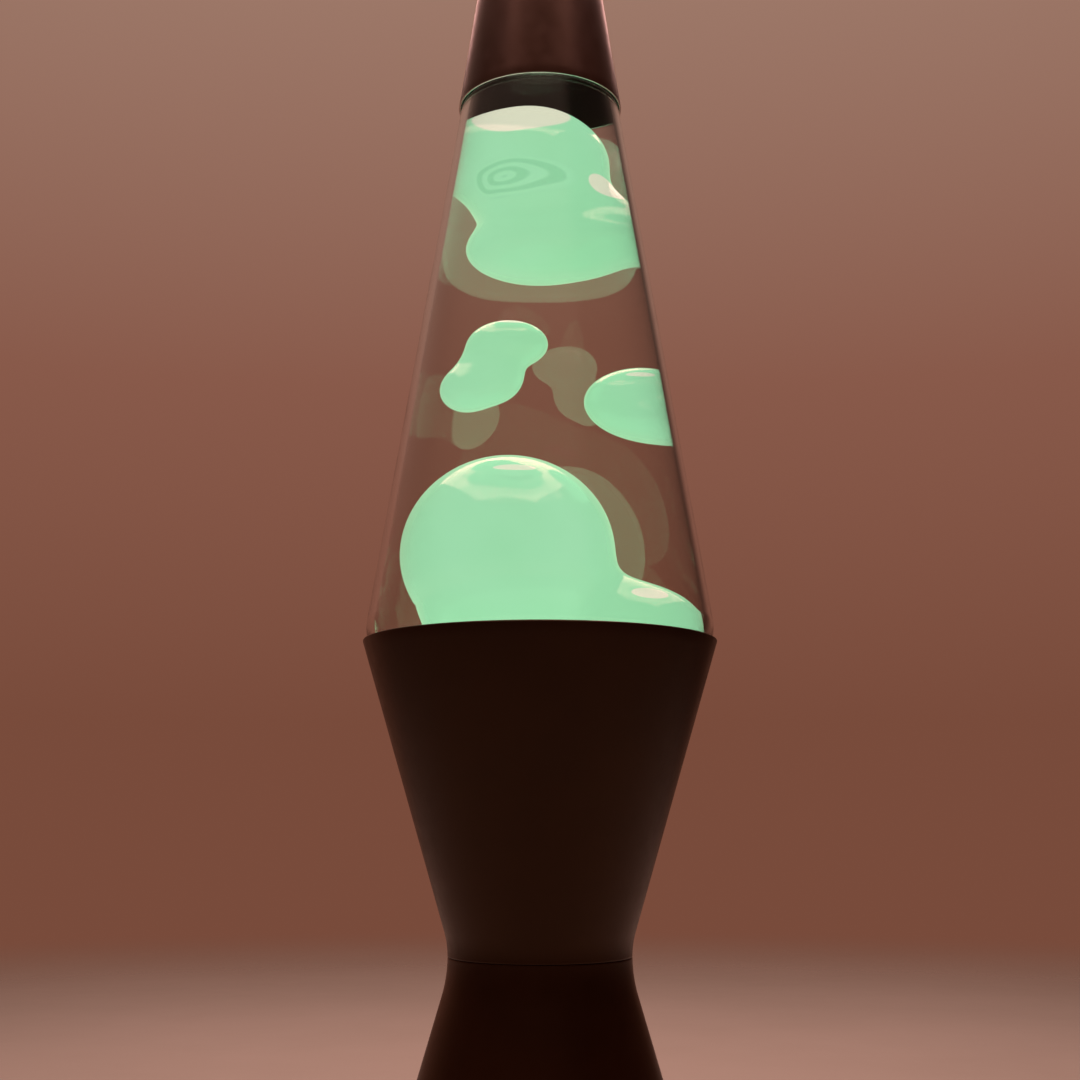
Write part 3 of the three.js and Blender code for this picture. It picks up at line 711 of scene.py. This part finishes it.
def wax_mass(node, heart, balls, detail=6):
    """The skin is found along straight ways out of the heart."""
    ball = bmesh.new()
    bmesh.ops.create_icosphere(ball, subdivisions=detail, radius=1)
    ways = np.array([v.co[:] for v in ball.verts])
    faces = [[v.index for v in face.verts] for face in ball.faces]
    ball.free()
    heart = np.array(heart, float)
    inside = np.zeros(len(ways))
    walking = np.ones(len(ways), bool)
    step = 0.5
    while walking.any():
        ahead = wax_depth(balls, heart + ways * (inside + step)[:, None]) > 0
        walking &= ahead
        inside[walking] += step
    outside = inside + step
    for _ in range(12):
        middle = (inside + outside) / 2
        within = wax_depth(balls, heart + ways * middle[:, None]) > 0
        inside = np.where(within, middle, inside)
        outside = np.where(within, outside, middle)
    points = (heart + ways * inside[:, None]) * MM
    stands_for(made(node + "_skin", points.tolist(), faces, sharp=60), node)


def heat_coil():
    """A ring of close-wound wire on the floor of the bottle, deep in the wax."""
    low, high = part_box("heat_coil")
    winding = (high.z - low.z) / 2
    ring = high.x - winding
    gauge = 0.45 * MM
    turns, steps = 72, 12
    points = []
    for i in range(turns * steps):
        round_ = 2 * math.pi * i / (turns * steps)
        wound = 2 * math.pi * i / steps
        radius = ring + (winding - gauge) * math.cos(wound)
        height = (low.z + high.z) / 2 + (winding - gauge) * math.sin(wound)
        points.append((radius * math.cos(round_), radius * math.sin(round_), height))
    stands_for(wire("heat_spring", points, gauge, cyclic=True), "heat_coil")


def crown():
    """A bottle crown: a flat top and a skirt pressed into flutes."""
    flutes = 21
    low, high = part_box("crown_cap")
    top, sheet = high.z, 0.5 * MM
    radius = 15.3 * MM
    outer = [(0, top), *arc(radius - 3.1 * MM, top - 2 * MM, 2 * MM, 90, 20, 6), (radius, low.z)]
    inner = [
        (radius - sheet, low.z),
        (radius - 1.4 * MM, top - 1.6 * MM),
        (radius - 3.3 * MM, top - sheet),
        (0, top - sheet),
    ]

    def fluted(angle, r, z):
        down = min(max((top - 1.4 * MM - z) / (4 * MM), 0), 1)
        return r * (1 + 0.026 * down * (1 + math.cos(flutes * angle)))

    stands_for(spin("crown", softened([*outer, *inner], 0.2 * MM), flutes * 12, fluted), "crown_cap")


# ---- The bulb -----------------------------------------------------------------------------------


def bulb_envelope():
    """Thin clear glass: a ball, narrowing to a neck in the brass shell."""
    radius = 17.5 * MM
    widest = BULB_HIGH.z - radius
    neck = 6.4 * MM
    thin = 0.8 * MM
    side = [
        (neck, BULB_LOW.z),
        (neck + 0.3 * MM, BULB_LOW.z + 9 * MM),
        (9.4 * MM, BULB_LOW.z + 14.6 * MM),
        (13.2 * MM, widest - 12.4 * MM),
        (16 * MM, widest - 7.2 * MM),
    ]
    outer_ball = arc(0, widest, radius, -6, 90, 24)
    inner_ball = arc(0, widest, radius - thin, -6, 90, 24)
    outer = [*side, *outer_ball[:-1], (0, BULB_HIGH.z)]
    inner = [*[(r - thin, z) for r, z in side], *inner_ball[:-1], (0, BULB_HIGH.z - thin)]
    loop = [*outer, *reversed(inner)]
    stands_for(spin("bulb_envelope", loop, 96, sharp=50), "bulb_glass")


# ---- The stage ----------------------------------------------------------------------------------


def floor():
    """A pale floor that fades into the backdrop at its edge."""
    near, far, thick = 0.26, 1.1, 0.002
    ring = spin("floor", [(0, 0), (far, 0), (far, -thick), (0, -thick)], 96)
    f = Finish("floor", Specular_IOR_Level=0.2)
    f.drive("Base Color", f.mix(f.noise(6), (0.362, 0.377, 0.325), (0.392, 0.407, 0.355)))
    f.drive("Roughness", f.levels(f.noise(40), 0.55, 0.7))
    distance = f.nodes.new("ShaderNodeVectorMath")
    distance.operation = "LENGTH"
    f.links.new(f.place, distance.inputs[0])
    tree = f.material.node_tree
    fade = spread(tree, distance.outputs["Value"], near, far, 0, 1, "SMOOTHSTEP")
    clear = f.nodes.new("ShaderNodeBsdfTransparent")
    both = f.nodes.new("ShaderNodeMixShader")
    f.links.new(fade, both.inputs["Fac"])
    f.links.new(f.shader.outputs["BSDF"], both.inputs[1])
    f.links.new(clear.outputs["BSDF"], both.inputs[2])
    f.links.new(both.outputs["Shader"], f.nodes["Material Output"].inputs["Surface"])
    ring.data.materials.append(f.material)


# The backdrop's colour by the sine of the height above the horizon.
SKY = [
    (-1.0, (0.187, 0.069, 0.043)),
    (0.06, (0.190, 0.071, 0.044)),
    (0.28, (0.248, 0.102, 0.069)),
    (0.50, (0.332, 0.184, 0.136)),
    (1.00, (0.55, 0.40, 0.32)),
]


def backdrop():
    """A wall that brightens upwards, in a studio that is darker on the camera's side and the right."""
    world = bpy.data.worlds.new("backdrop")
    bpy.context.scene.world = world
    world.use_nodes = True
    tree = world.node_tree
    nodes, links = tree.nodes, tree.links
    place = nodes.new("ShaderNodeTexCoord")
    parts = nodes.new("ShaderNodeSeparateXYZ")
    links.new(place.outputs["Generated"], parts.inputs["Vector"])
    ramp = nodes.new("ShaderNodeValToRGB")
    links.new(spread(tree, parts.outputs["Z"], -1, 1, 0, 1), ramp.inputs["Fac"])
    stops = ramp.color_ramp.elements
    while len(stops) < len(SKY):
        stops.new(0.5)
    for stop, (sine, colour) in zip(stops, SKY):
        stop.position = (sine + 1) / 2
        stop.color = (*colour, 1)
    links.new(ramp.outputs["Color"], nodes["Background"].inputs["Color"])
    strength = nodes.new("ShaderNodeMath")
    strength.operation = "MULTIPLY"
    behind_lamp = spread(tree, parts.outputs["Y"], 0.15, 0.85, 0.28, 1, "SMOOTHSTEP")
    right_flag = spread(tree, parts.outputs["X"], 0.36, 0.6, 1, 0.25, "SMOOTHSTEP")
    links.new(behind_lamp, strength.inputs[0])
    links.new(right_flag, strength.inputs[1])
    links.new(strength.outputs["Value"], nodes["Background"].inputs["Strength"])


def softbox(name, at, towards, width, depth, colour, power):
    """A soft panel of light that the camera doesn't see."""
    light = bpy.data.lights.new(name, "AREA")
    light.shape = "RECTANGLE"
    light.size = width
    light.size_y = depth
    light.color = colour
    light.energy = power
    lamp = bpy.data.objects.new(name, light)
    lamp.location = at
    lamp.rotation_euler = (Vector(towards) - Vector(at)).to_track_quat("-Z", "Y").to_euler()
    lamp.visible_camera = False
    bpy.context.scene.collection.objects.link(lamp)


def camera():
    """Low and close, looking up a little."""
    data = bpy.data.cameras.new("camera")
    data.sensor_width = 36
    data.lens = 49.333
    data.clip_start = 0.01
    eye = bpy.data.objects.new("camera", data)
    eye.location = (0, -0.398, 0.1084)
    eye.rotation_euler = (math.radians(90 + 10.5), 0, 0)
    bpy.context.scene.collection.objects.link(eye)
    bpy.context.scene.camera = eye
    bpy.context.scene.view_settings.view_transform = "Standard"


# ---- The whole lamp -----------------------------------------------------------------------------

camera()
finish_cad()
upper_cone()
lower_cone()
top_cap()
bottle()
bottle_liquid()
for node, mass in WAX.items():
    wax_mass(node, mass["heart"], mass["balls"])
heat_coil()
crown()
bulb_envelope()
floor()
backdrop()
softbox(
    "overhead",
    at=(0, 0.17, 0.7),
    towards=(0, 0.17, 0),
    width=0.56,
    depth=0.84,
    colour=(1.0, 0.5, 0.45),
    power=6.5,
)
